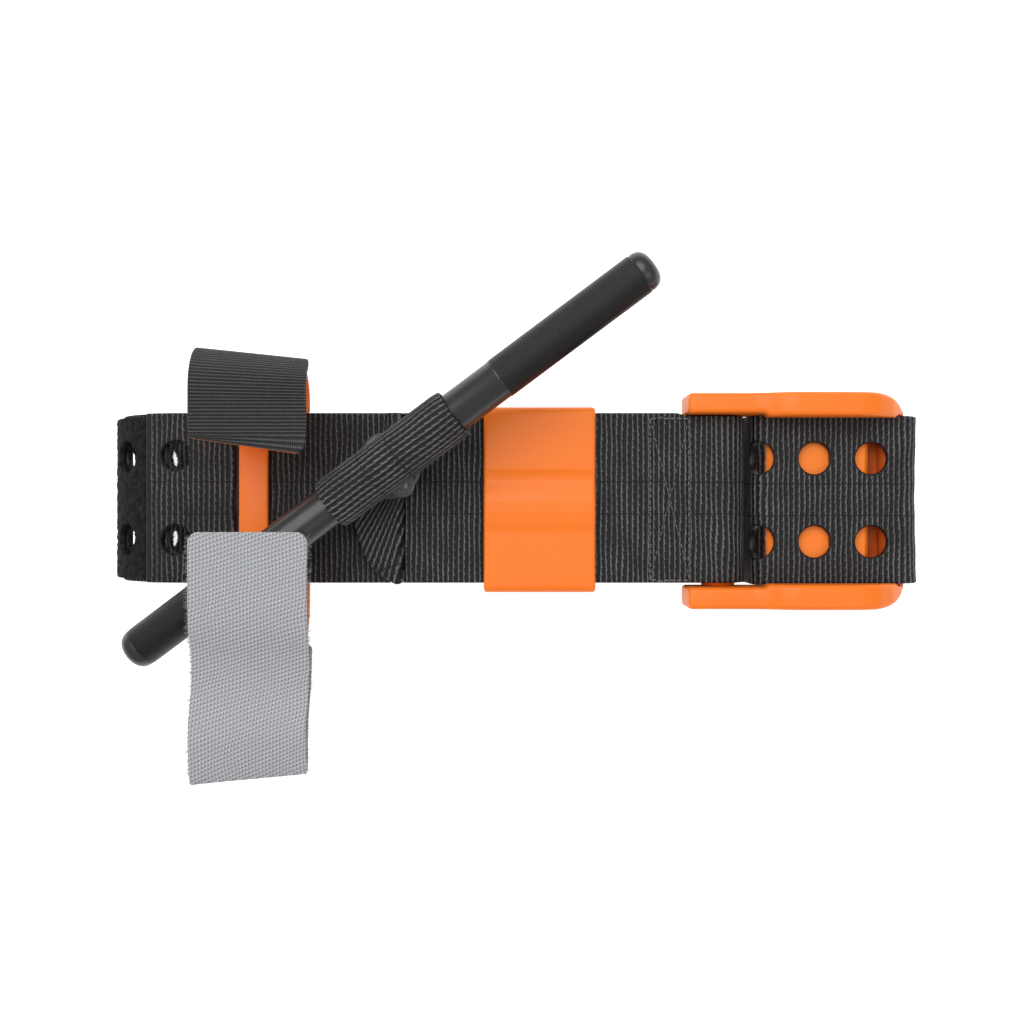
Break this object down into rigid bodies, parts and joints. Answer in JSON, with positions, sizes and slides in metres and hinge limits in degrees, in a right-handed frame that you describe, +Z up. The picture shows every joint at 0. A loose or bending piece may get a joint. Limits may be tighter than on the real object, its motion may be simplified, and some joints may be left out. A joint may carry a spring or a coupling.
{
  "type": "windlass tourniquet",
  "caption": "Limb tourniquet laid flat: black webbing loop with punched belt, alloy windlass held in an orange clip, sliding keeper and auto-lock buckle.",
  "frame": {"origin": "underside of the belt's bottom run, on its centreline, roughly below the middle of the whole", "axes": "+X along the strap from the folded end towards the buckle, +Y across the strap, +Z up from the surface it lies on"},
  "size_m": [0.1848, 0.1128, 0.0612],
  "materials": {
    "belt_webbing": "ribbed black polyamide webbing",
    "strap_webbing": "ribbed black polyamide webbing",
    "pile": "black napped loop tape",
    "hook_tape": "black corded hook tape",
    "retention_webbing": "light grey twill-woven loop tape",
    "thread": "black bonded thread",
    "orange_plastic": "satin moulded orange",
    "windlass_alloy": "black anodised, knurled at both ends",
    "steel": "bare stainless"
  },
  "bodies": {
    "loop": {"belt_left_turn": "belt_webbing", "belt_bottom_run": "belt_webbing", "pile_tape": "pile", "front_strap_left": "strap_webbing", "front_strap_right": "strap_webbing", "tension_strap_base": "strap_webbing", "tension_strap_twist": "strap_webbing", "box_seam": "thread", "clip_body": "orange_plastic", "hook_tape": "hook_tape", "retention_strap_base": "retention_webbing", "retention_strap_anchor": "retention_webbing"},
    "windlass": {"windlass_rod": "windlass_alloy", "windlass_collar": "windlass_alloy", "collar_rivet": "steel", "tension_strap_tunnel": "strap_webbing"},
    "keeper": {"keeper": "orange_plastic"},
    "buckle": {"buckle_frame": "orange_plastic", "buckle_pin": "orange_plastic", "lock_prongs": "steel", "slider_spring_lower": "steel", "slider_spring_upper": "steel", "belt_top_run": "belt_webbing", "belt_tail": "belt_webbing", "belt_right_turn": "belt_webbing"},
    "slider": {"slider_plate": "orange_plastic"},
    "retention_tail": {"retention_strap_tail": "retention_webbing"}
  },
  "joints": [
    {"name": "windlass_turn", "type": "hinge", "parent": "loop", "child": "windlass", "pos_m": [-0.02725, 0.00705, 0.0492], "axis": [0, 0, 1], "range_deg": [-58, 0]},
    {"name": "keeper_slide", "type": "slide", "parent": "loop", "child": "keeper", "axis": [1, 0, 0], "range_m": [-0.008, 0.0115]},
    {"name": "buckle_tilt", "type": "hinge", "parent": "loop", "child": "buckle", "pos_m": [0.0468, 0, 0.0305], "axis": [0, -1, 0], "range_deg": [0, 8]},
    {"name": "slider_travel", "type": "slide", "parent": "buckle", "child": "slider", "axis": [1, 0, 0], "range_m": [0, 0.0022], "stiffness_N_per_m": 900, "deforming": ["slider_spring_lower", "slider_spring_upper"]},
    {"name": "retention_flap", "type": "hinge", "parent": "loop", "child": "retention_tail", "pos_m": [-0.0558, -0.0332, 0.0479], "axis": [1, 0, 0], "range_deg": [0, 60]}
  ]
}
